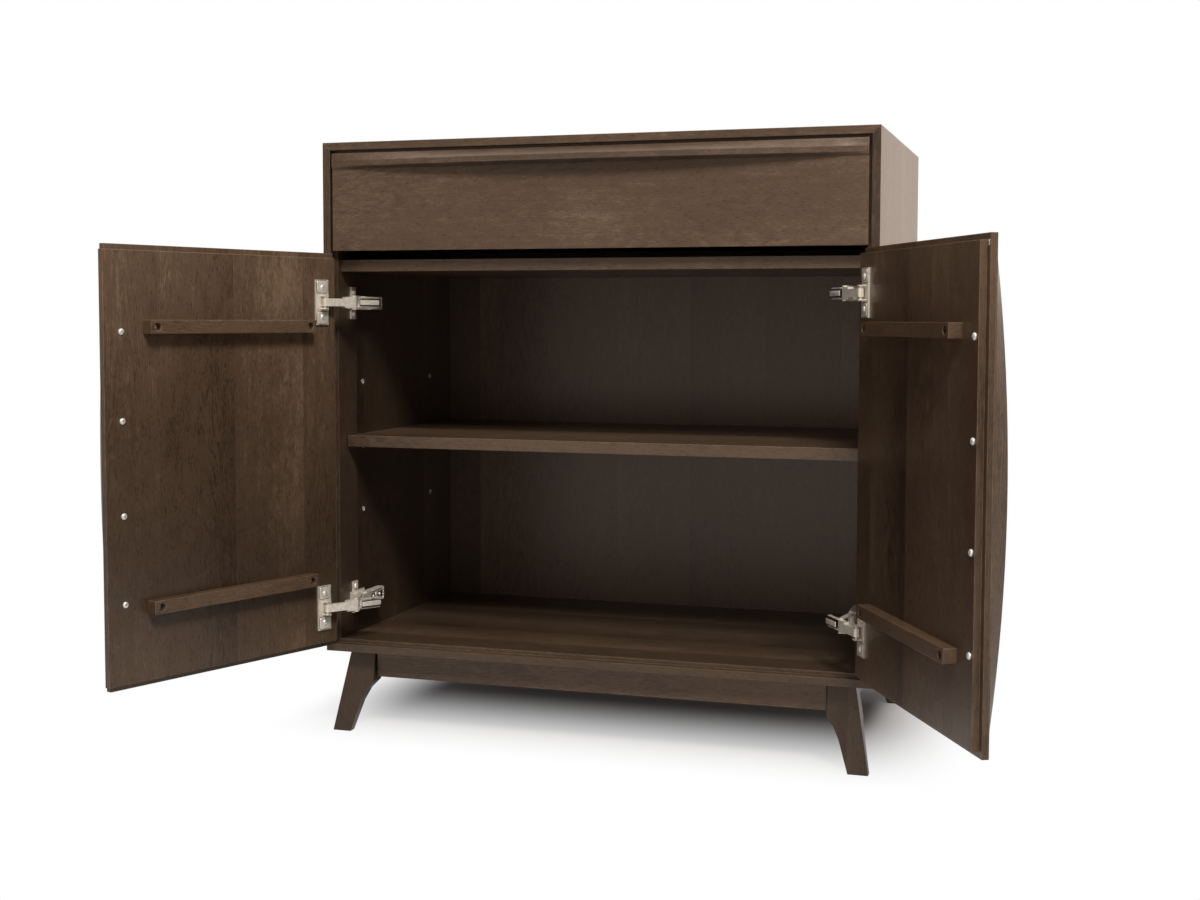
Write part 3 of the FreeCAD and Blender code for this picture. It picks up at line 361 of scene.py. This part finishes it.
# Boards with a stave width of their own, and tones that make boards lighter or darker than the rest: partly their
# stain and partly painted light and shade, such as the darker legs, left side and back panel and the lighter front
# apron, shelf and divider
STAVES = {"drawer_front": 0.60, "drawer_pull": 0.60, "drawer_divider": 0.60, "case_bottom": 0.085, "shelf": 0.105}
LEG_SHADE_TONE = 0.47
STAIN_AND_LIGHT_TONES = {"back_panel": 0.68, "drawer_front": 1.08, "drawer_pull": 0.92, "left_side": 0.62, "shelf": 1.2,
         "drawer_divider": 1.15, "front_apron": 1.7, "case_bottom": 0.84,
         "front_left_leg": LEG_SHADE_TONE, "front_right_leg": LEG_SHADE_TONE,
         "rear_left_leg": LEG_SHADE_TONE, "rear_right_leg": LEG_SHADE_TONE}
DOOR_JOINT = 0.078
DOOR_SHADE = 0.80
DOOR_SEED = {"left": 31, "right": 40}
# painted shade down each door: pairs of a height and a tone that darkens the colour there, most over the lower and
# middle height
DOOR_HEIGHT_SHADE = {"left": ((0.15, 0.72), (0.30, 0.46), (0.46, 0.62), (0.79, 1.0)),
              "right": ((0.15, 1.0), (0.28, 0.70), (0.55, 0.68), (0.79, 1.0))}
DOOR_TONE = {"left": 1.40, "right": 1.35}

metals = {
    "nickel": plated_metal("nickel_plate", ((0.72, 0.65, 0.55), (0.93, 0.87, 0.77)), 0.28, 140.0, 0.45),
    "steel_bright": plated_metal("bright_steel", ((0.66, 0.64, 0.60), (0.90, 0.88, 0.84)), 0.30, 220.0, 0.6),
    "steel_dark": plated_metal("black_steel", ((0.030, 0.028, 0.026), (0.085, 0.080, 0.075)), 0.38, 220.0, 1.0),
    "steel_zinc": plated_metal("zinc_steel", ((0.40, 0.41, 0.43), (0.62, 0.63, 0.65)), 0.30, 60.0, 1.0),
}


def paint(node, material):
    mesh = nodes[node].data
    mesh.materials.clear()
    mesh.materials.append(material)


for seed, (node, order) in enumerate(BOARD_AXES.items(), 1):
    joint = 0.0 if node in STAVES else BOARD_JOINT_STEP * seed
    paint(node, stained_wood("wood_" + node, order, seed=seed, tone=STAIN_AND_LIGHT_TONES.get(node, 1.0), joint=joint,
                             first=BOARD_SHADE_STEP * seed, stave=STAVES.get(node, STAVE_WIDTH)))
for side, (place, turn) in DOORS.items():
    for seed, (piece, order) in enumerate(DOOR_AXES.items(), DOOR_SEED[side]):
        node = side + "_" + piece
        height_shade = DOOR_HEIGHT_SHADE[side] if piece == "door" else ()
        paint(node, stained_wood("wood_" + node, order, place, turn, seed=seed, tone=DOOR_TONE[side],
                                 joint=DOOR_JOINT, first=DOOR_SHADE, height_shade=height_shade))
for node, order in PLAIN_AXES.items():
    paint(node, plain_wood("wood_" + node, order))
for node, slot in slot_of_node.items():
    if slot in metals:
        paint(node, metals[slot])


# Pieces of metal that the scene shapes: all are soft on their curves and sharp at their edges

SHARP_ANGLE = math.radians(38.0)


def islands(obj):
    """The vertex places of each separate solid of a node."""
    shape = bmesh.new()
    shape.from_mesh(obj.data)
    bmesh.ops.remove_doubles(shape, verts=shape.verts, dist=0.00002)
    left = dict.fromkeys(shape.verts)  # a dict and not a set, so that the order is the same in each run
    found = []
    while left:
        stack = [left.popitem()[0]]
        group = []
        while stack:
            vertex = stack.pop()
            group.append(vertex.co.copy())
            for edge in vertex.link_edges:
                other = edge.other_vert(vertex)
                if other in left:
                    del left[other]
                    stack.append(other)
        found.append(np.array(group))
    shape.free()
    return found


def strip(shape, low, high):
    """Joins two rings of as many vertices by a strip of faces."""
    count = len(low)
    for i in range(count):
        shape.faces.new((low[i], low[(i + 1) % count], high[(i + 1) % count], high[i]))


def ring_edges(shape, ring):
    return [shape.edges.get((ring[i - 1], ring[i])) for i in range(len(ring))]


def finish_piece(name, shape, slot, body):
    mesh = bpy.data.meshes.new(name)
    bmesh.ops.recalc_face_normals(shape, faces=shape.faces)
    shape.to_mesh(mesh)
    shape.free()
    mesh.materials.append(metals[slot])
    mesh.shade_smooth()
    mesh.set_sharp_from_angle(angle=SHARP_ANGLE)
    obj = bpy.data.objects.new(name, mesh)
    bpy.context.scene.collection.objects.link(obj)
    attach(obj, body)
    return obj


# Screw heads: every screw of the frame gets a domed head with a cross recess. Sizes are shares of the head's
# radius, and heights are shares of its dome.

HEAD_DOME = 0.62
HEAD_PROFILE = [(1.00, 0.00), (1.00, 0.22), (0.93, 0.52), (0.80, 0.76), (0.60, 0.92), (0.42, 0.98)]
HEAD_SIDES = 32
HEAD_RIM = 0.98
SHANK = 0.46
RECESS_TOP = (0.36, 0.075, 0.995)
RECESS_FLOOR = (0.55 * 0.36, 0.6 * 0.075, 0.35)
SCREW_TURN = 0.7


def screw_place(points):
    """The middle of a screw's seat, the way its head faces, its head's radius and its shank's length."""
    middle = points.mean(0)
    axis = np.linalg.svd(points - middle)[2][0]
    far = (points - middle) @ axis
    radius = np.linalg.norm(points - middle - np.outer(far, axis), axis=1)
    widest = radius.max()
    seat = far[radius > HEAD_RIM * widest].mean()
    if seat < 0:
        axis, far, seat = -axis, -far, -seat
    return Vector(middle + axis * seat), Vector(axis), widest, seat - far.min()


def screw_mesh(shape, seat, axis, radius, length, turn):
    """Adds a pan head with a cross recess, and its shank, to a mesh."""
    dome = HEAD_DOME * radius
    spin = axis.to_track_quat("Z", "Y").to_matrix() @ Matrix.Rotation(turn, 3, "Z")

    def put(x, y, z):
        return shape.verts.new(seat + spin @ Vector((x, y, z)))

    def circle(reach, height):
        angles = [2 * math.pi * i / HEAD_SIDES for i in range(HEAD_SIDES)]
        return [put(reach * math.cos(angle), reach * math.sin(angle), height) for angle in angles]

    def cross(reach, half, height):
        outline = [(reach, -half), (reach, half), (half, half), (half, reach), (-half, reach), (-half, half),
                   (-reach, half), (-reach, -half), (-half, -half), (-half, -reach), (half, -reach), (half, -half)]
        return [put(x * radius, y * radius, height * dome) for x, y in outline]

    rings = [circle(share * radius, rise * dome) for share, rise in HEAD_PROFILE]
    rim = cross(*RECESS_TOP)
    floor = cross(*RECESS_FLOOR)
    for low, high in zip(rings, rings[1:]):
        strip(shape, low, high)
    strip(shape, rim, floor)
    shape.faces.new(floor)
    edges = ring_edges(shape, rings[-1]) + ring_edges(shape, rim)
    bmesh.ops.triangle_fill(shape, use_beauty=True, edges=edges)

    # the seat under the head, and the shank
    neck = circle(SHANK * radius, 0.0)
    tip = circle(SHANK * radius, -length)
    strip(shape, neck, rings[0])
    strip(shape, tip, neck)
    shape.faces.new(list(reversed(tip)))


for node, slot in slot_of_node.items():
    if not node.endswith("screws"):
        continue
    shape = bmesh.new()
    for number, points in enumerate(islands(nodes[node])):
        screw_mesh(shape, *screw_place(points), SCREW_TURN * number)
    piece = finish_piece("detailed_" + node, shape, slot, body_of_node[node])
    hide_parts(node)


# Pressed and screwed detail of the concealed hinges, with thin dark plates that are painted shade, and the small
# bumper pad. Lengths are metres.

UP = Vector((0.0, 0.0, 1.0))
REAR = Vector((0.0, 1.0, 0.0))
MIRROR = {"left": 1.0, "right": -1.0}

TABLET_STEPS = 6
TABLET_PROFILE = ((0.0, 0.0), (0.0, 0.55), (0.3, 0.9), (0.7, 1.0))  # inset and rise, in thicknesses
TABLET_LEAST = 0.0001

# cup flanges: shares of the flange's height, then the raised face and the dark plate around it that is painted shade
FLANGE_ENDS = 0.42
EAR_HEIGHT = 0.27
EAR_RISE = 0.345
EAR_TRIM = 0.0035
EAR_THICK = 0.0011
EAR_CORNER = 0.0040
SHADE_RIM_WIDER = 0.0016
SHADE_RIM_CORNER = 0.0048
SHADE_PLATE_THICK = 0.0003

# bars: a spine on the face with a dark plate around it that is painted shade, and a slim link above and below
SPINE_OUT = 0.0045
SPINE_SHORT = 0.018
SPINE_WIDE = 0.0080
SPINE_THICK = 0.0013
SPINE_CORNER = 0.0015
GAP_SHADE_SHORT = 0.016
GAP_SHADE_WIDE = 0.0112
LINK_RISE = 0.0078
LINK_BACK = 0.0030
LINK_SHORT = 0.018
LINK_WIDE = 0.0022
LINK_THICK = 0.0060
LINK_CORNER = 0.0008

# bumper pad on the lap of the right door, at its top free corner
PAD_SIZE = (0.0075, 0.0042, 0.0004)
PAD_CORNER = 0.0015
PAD_INSET = 0.0045
PAD_DROP = 0.012
LAP_STEP = 0.0105

# fixed arms: places are shares of the arm's length, or of half its height for the studs
RAIL_PLACE, RAIL_LENGTH = 0.69, 0.54
RAIL_INSET = 0.0014
RAIL_WIDE, RAIL_THICK, RAIL_CORNER = 0.0022, 0.0016, 0.0008
STUD_PLACE = 0.965
STUD_RISES = (-0.6, -0.2, 0.2, 0.6)
STUD_SIZE, STUD_CORNER = (0.0026, 0.0024, 0.0018), 0.0011
ADJUSTER_PLACES = (0.50, 0.78)
ADJUSTER_RADIUS, ADJUSTER_LENGTH, ADJUSTER_TURN = 0.0036, 0.002, 0.5
# dark plates of painted shade under the adjusting screws and at a notch
SLOT_SHADE_SIZE, SLOT_SHADE_CORNER = (0.015, 0.0095, 0.0005), 0.0030
NOTCH_PLACE, NOTCH_SHADE_SIZE, NOTCH_SHADE_CORNER = 0.89, (0.0042, 0.0115, 0.0005), 0.0018
BRIDGE_PLACE, BRIDGE_SIZE, BRIDGE_CORNER = 0.64, (0.007, 0.0090, 0.0013), 0.001


def tablet(shape, middle, along, out, size, corner):
    """Adds a plate with round corners and an eased top edge: size is its length, its width and its thickness."""
    length, width, thick = size
    across = out.cross(along)
    rings = []
    for inset, rise in TABLET_PROFILE:
        reach = max(corner - inset * thick, TABLET_LEAST)
        ring = []
        for quarter, (sign_x, sign_y) in enumerate(((1, 1), (-1, 1), (-1, -1), (1, -1))):
            for step in range(TABLET_STEPS + 1):
                angle = math.pi / 2 * (quarter + step / TABLET_STEPS)
                x = sign_x * (length / 2 - corner) + reach * math.cos(angle)
                y = sign_y * (width / 2 - corner) + reach * math.sin(angle)
                ring.append(shape.verts.new(middle + along * x + across * y + out * rise * thick))
        rings.append(ring)
    for low, high in zip(rings, rings[1:]):
        strip(shape, low, high)
    shape.faces.new(rings[-1])
    shape.faces.new(list(reversed(rings[0])))


def door_axes(side):
    """A door's hinge, the way from it to the free edge and the way into the case when shut, in the rest pose."""
    place, turn = DOORS[side]
    spin = Matrix.Rotation(turn, 3, "Z")
    return Vector(place), spin @ Vector((MIRROR[side], 0.0, 0.0)), spin @ REAR


def flange_detail(side):
    """A raised face on each end of each cup's flange, on a slightly larger dark plate around it that is painted
    shade.
    """
    hinge, leaf, inward = door_axes(side)
    faces = bmesh.new()
    shade_rims = bmesh.new()
    for points in islands(nodes[side + "_hinge_cups"]):
        low, high = points[:, 2].min(), points[:, 2].max()
        at_ends = np.abs(points[:, 2] - (low + high) / 2) > FLANGE_ENDS * (high - low)
        ends = points[at_ends] - np.array(hinge)
        reach = ends @ np.array(leaf)
        front = (ends @ np.array(inward)).max()
        middle = hinge + leaf * float((reach.min() + reach.max()) / 2) + inward * float(front)
        middle.z = (low + high) / 2
        tall = EAR_HEIGHT * (high - low)
        wide = reach.max() - reach.min() - EAR_TRIM
        for end in (-1.0, 1.0):
            ear = middle + UP * end * EAR_RISE * (high - low)
            shade_rim = (tall + SHADE_RIM_WIDER, wide + SHADE_RIM_WIDER, SHADE_PLATE_THICK)
            tablet(shade_rims, ear, UP, inward, shade_rim, SHADE_RIM_CORNER)
            tablet(faces, ear, UP, inward, (tall, wide, EAR_THICK), EAR_CORNER)
    finish_piece(side + "_flange_faces", faces, "nickel", side + "_door")
    finish_piece(side + "_flange_shade_rims", shade_rims, "steel_dark", side + "_door")


def bar_detail(side):
    """A spine on each bar, on a slightly larger dark plate around it that is painted shade, and a slim link above and
    below the bar.
    """
    start = Vector(joints[side + "_bar_hinge"]["pos_m"])
    run = Vector(joints[side + "_lever_hinge"]["pos_m"]) - Vector(joints[side + "_door_hinge"]["pos_m"])
    run.z = 0.0
    line = run.normalized()
    facing = line.cross(UP) * MIRROR[side]
    links = bmesh.new()
    gap_shades = bmesh.new()
    for points in islands(nodes[side + "_hinge_bars"]):
        middle = start + run / 2
        middle.z = (points[:, 2].min() + points[:, 2].max()) / 2
        spine = middle + facing * SPINE_OUT
        tablet(gap_shades, spine, line, facing, (run.length - GAP_SHADE_SHORT, GAP_SHADE_WIDE, SHADE_PLATE_THICK), SPINE_CORNER)
        tablet(links, spine, line, facing, (run.length - SPINE_SHORT, SPINE_WIDE, SPINE_THICK), SPINE_CORNER)
        for way in (-1.0, 1.0):
            link = middle + UP * way * LINK_RISE - facing * LINK_BACK
            tablet(links, link, line, facing, (run.length - LINK_SHORT, LINK_WIDE, LINK_THICK), LINK_CORNER)
    finish_piece(side + "_bar_links", links, "nickel", side + "_bars")
    finish_piece(side + "_bar_gap_shades", gap_shades, "steel_dark", side + "_bars")


def bumper_pad():
    hinge, leaf, inward = door_axes("right")
    corners = [vertex.co - hinge for vertex in nodes["right_door"].data.vertices]
    spot = hinge + leaf * (max(corner.dot(leaf) for corner in corners) - PAD_INSET) + inward * LAP_STEP
    spot.z = max(corner.z for corner in corners) - PAD_DROP
    pad = bmesh.new()
    tablet(pad, spot, UP, inward, PAD_SIZE, PAD_CORNER)
    finish_piece("bumper_pad", pad, "steel_bright", "right_door")


def arm_detail():
    """Rails, a bridge, end studs and adjusting screws on each fixed arm, behind the levers' reach: the screws sit on
    dark plates that are painted shade for their slot, and another dark plate of painted shade marks a notch.
    """
    rails = bmesh.new()
    slot_shades = bmesh.new()
    adjusters = bmesh.new()
    for points in islands(nodes["hinge_arms"]):
        low, high = points.min(0), points.max(0)
        on_left = low[0] < 0
        inner = Vector((1.0 if on_left else -1.0, 0.0, 0.0))
        face = high[0] if on_left else low[0]
        length = high[1] - low[1]
        half = (high[2] - low[2]) / 2

        def spot(share, rise=0.0):
            return Vector((face, low[1] + share * length, (low[2] + high[2]) / 2 + rise))

        for way in (-1.0, 1.0):
            rail = spot(RAIL_PLACE, way * (half - RAIL_INSET))
            tablet(rails, rail, REAR, inner, (RAIL_LENGTH * length, RAIL_WIDE, RAIL_THICK), RAIL_CORNER)
        for rise in STUD_RISES:
            tablet(rails, spot(STUD_PLACE, rise * half), REAR, inner, STUD_SIZE, STUD_CORNER)
        tablet(rails, spot(BRIDGE_PLACE), REAR, inner, BRIDGE_SIZE, BRIDGE_CORNER)
        tablet(slot_shades, spot(NOTCH_PLACE), REAR, inner, NOTCH_SHADE_SIZE, NOTCH_SHADE_CORNER)
        for number, share in enumerate(ADJUSTER_PLACES):
            tablet(slot_shades, spot(share), REAR, inner, SLOT_SHADE_SIZE, SLOT_SHADE_CORNER)
            screw_mesh(adjusters, spot(share), inner, ADJUSTER_RADIUS, ADJUSTER_LENGTH, ADJUSTER_TURN + number)
    finish_piece("arm_rails", rails, "nickel", "case")
    finish_piece("arm_slot_shades", slot_shades, "steel_dark", "case")
    finish_piece("arm_adjusters", adjusters, "steel_bright", "case")


for side in DOORS:
    flange_detail(side)
    bar_detail(side)
bumper_pad()
arm_detail()


# The floor is white away from the cabinet; under and around it a mask shows the grey floor with its cast shadow, so
# the shade there is partly cast and partly painted shade

FLOOR_REACH = 14.0
FLOOR_STOPS = [(0.2, (0.47, 0.445, 0.44)), (0.8, (0.50, 0.475, 0.47))]
FLOOR_CLOUD = 1.3
FLOOR_ROUGH = 0.9
FLOOR_SPECULAR = 0.1
FLOOR_GLOSS = 0.40
SHADE_SIDE = (0.38, 0.60)
SHADE_FRONT = (0.12, -0.34)
SHADE_REAR = (0.28, 0.64)
WHITE = (1.0, 1.0, 1.0)

floor_mesh = bpy.data.meshes.new("floor")
floor_mesh.from_pydata([(-FLOOR_REACH, -FLOOR_REACH, 0), (FLOOR_REACH, -FLOOR_REACH, 0),
                        (FLOOR_REACH, FLOOR_REACH, 0), (-FLOOR_REACH, FLOOR_REACH, 0)], [], [(0, 1, 2, 3)])
floor = bpy.data.objects.new("floor", floor_mesh)
bpy.context.scene.collection.objects.link(floor)

floor_tree = Tree("pale_floor")
floor_place = floor_tree.add("ShaderNodeTexCoord").outputs["Object"]
floor_cloud = floor_tree.noise(floor_place, scale=FLOOR_CLOUD, detail=3.0)
floor_tree.feed(floor_tree.shader.inputs["Base Color"], floor_tree.ramp(floor_cloud, FLOOR_STOPS))
floor_tree.shader.inputs["Roughness"].default_value = FLOOR_ROUGH
floor_tree.shader.inputs["Specular IOR Level"].default_value = FLOOR_SPECULAR

apart = floor_tree.add("ShaderNodeSeparateXYZ")
floor_tree.feed(apart.inputs[0], floor_place)
# the mask: one near the cabinet, where the grey floor's lit shading and cast shadow show, fading to white further
# out; the grey it leaves is partly painted shade
aside = floor_tree.math("ABSOLUTE", apart.outputs["X"])
shade = floor_tree.ranged(aside, *SHADE_SIDE, 1.0, 0.0)
for shade_range in (SHADE_FRONT, SHADE_REAR):
    shade = floor_tree.math("MULTIPLY", shade, floor_tree.ranged(apart.outputs["Y"], *shade_range, 1.0, 0.0))

floor_ray = floor_tree.add("ShaderNodeLightPath")
mirrored_rays = floor_tree.math("MULTIPLY", floor_ray.outputs["Is Glossy Ray"], FLOOR_GLOSS)
seen_rays = floor_tree.math("ADD", floor_ray.outputs["Is Camera Ray"], mirrored_rays, clamp=True)
paper = floor_tree.add("ShaderNodeEmission")
paper.inputs["Color"].default_value = (*WHITE, 1.0)
paper.inputs["Strength"].default_value = 1.0
blend = floor_tree.add("ShaderNodeMixShader")
floor_tree.feed(blend.inputs[0], floor_tree.math("MULTIPLY", floor_tree.math("SUBTRACT", 1.0, shade), seen_rays))
floor_tree.feed(blend.inputs[1], floor_tree.shader.outputs[0])
floor_tree.feed(blend.inputs[2], paper.outputs[0])
floor_tree.feed(floor_tree.tree.nodes["Material Output"].inputs["Surface"], blend.outputs[0])
floor_mesh.materials.append(floor_tree.material)


# The studio: white to the camera, little light of its own, and in reflections dim in front and bright behind

AMBIENT = 0.14
AMBIENT_COLOUR = (0.95, 0.97, 1.0)
GLOSS_COLOUR = (1.0, 0.84, 0.73)
FRONT_GLOSS = 0.52
BACK_GLOSS = 1.2
GLOSS_TURN = (-0.1, 0.7)

world = bpy.data.worlds.new("studio")
bpy.context.scene.world = world
world.use_nodes = True
sky = world.node_tree
sky.nodes.clear()


def background(colour, strength):
    node = sky.nodes.new("ShaderNodeBackground")
    node.inputs["Color"].default_value = (*colour, 1.0)
    if isinstance(strength, bpy.types.NodeSocket):
        sky.links.new(strength, node.inputs["Strength"])
    else:
        node.inputs["Strength"].default_value = strength
    return node.outputs[0]


def chosen(factor, first, second):
    node = sky.nodes.new("ShaderNodeMixShader")
    for socket, value in zip(node.inputs, (factor, first, second)):
        sky.links.new(value, socket)
    return node.outputs[0]


ray = sky.nodes.new("ShaderNodeLightPath")
heading = sky.nodes.new("ShaderNodeSeparateXYZ")
sky.links.new(sky.nodes.new("ShaderNodeTexCoord").outputs["Generated"], heading.inputs[0])
rearward = sky.nodes.new("ShaderNodeMapRange")
rearward.interpolation_type = "SMOOTHSTEP"
for socket, value in zip(list(rearward.inputs)[1:5], (*GLOSS_TURN, FRONT_GLOSS, BACK_GLOSS)):
    socket.default_value = value
sky.links.new(heading.outputs["Y"], rearward.inputs[0])
mirrored = chosen(ray.outputs["Is Glossy Ray"], background(AMBIENT_COLOUR, AMBIENT),
                  background(GLOSS_COLOUR, rearward.outputs[0]))
seen = chosen(ray.outputs["Is Camera Ray"], mirrored, background(WHITE, 1.0))
sky.links.new(seen, sky.nodes.new("ShaderNodeOutputWorld").inputs[0])

LIGHTS = {  # place, aim, size, power and colour
    "key": ((1.55, -3.05, 3.85), (-0.1, -0.3, 0.5), (1.2, 1.2), 205.0, (1.0, 0.965, 0.92)),
    "overhead": ((0.0, -0.5, 3.3), (0.0, -0.5, 0.0), (3.2, 3.2), 18.0, WHITE),
    "low_fill": ((-0.6, -3.0, 0.25), (0.0, 0.2, 0.42), (2.4, 0.45), 2.6, (1.0, 0.93, 0.86)),
}
for name, (place, aim, size, power, colour) in LIGHTS.items():
    data = bpy.data.lights.new(name, "AREA")
    data.shape = "RECTANGLE"
    data.size, data.size_y = size
    data.energy = power
    data.color = colour
    lamp = bpy.data.objects.new(name, data)
    bpy.context.scene.collection.objects.link(lamp)
    lamp.location = place
    lamp.rotation_euler = (Vector(aim) - Vector(place)).to_track_quat("-Z", "Y").to_euler()


# Camera

forward = Vector((-math.sin(CAMERA_YAW) * math.cos(CAMERA_PITCH), math.cos(CAMERA_YAW) * math.cos(CAMERA_PITCH),
                  math.sin(CAMERA_PITCH)))
level = Vector((math.cos(CAMERA_YAW), math.sin(CAMERA_YAW), 0.0))
upright = level.cross(forward)
right = level * math.cos(CAMERA_ROLL) + upright * math.sin(CAMERA_ROLL)
up = upright * math.cos(CAMERA_ROLL) - level * math.sin(CAMERA_ROLL)
lens = bpy.data.cameras.new("camera")
lens.sensor_fit = "HORIZONTAL"
lens.sensor_width = CAMERA_SENSOR
lens.lens = CAMERA_LENS
lens.shift_x, lens.shift_y = CAMERA_SHIFT
camera = bpy.data.objects.new("camera", lens)
bpy.context.scene.collection.objects.link(camera)
camera.matrix_world = Matrix.Translation(CAMERA_PLACE) @ Matrix((right, up, -forward)).transposed().to_4x4()
bpy.context.scene.camera = camera
bpy.context.scene.view_settings.view_transform = "Standard"
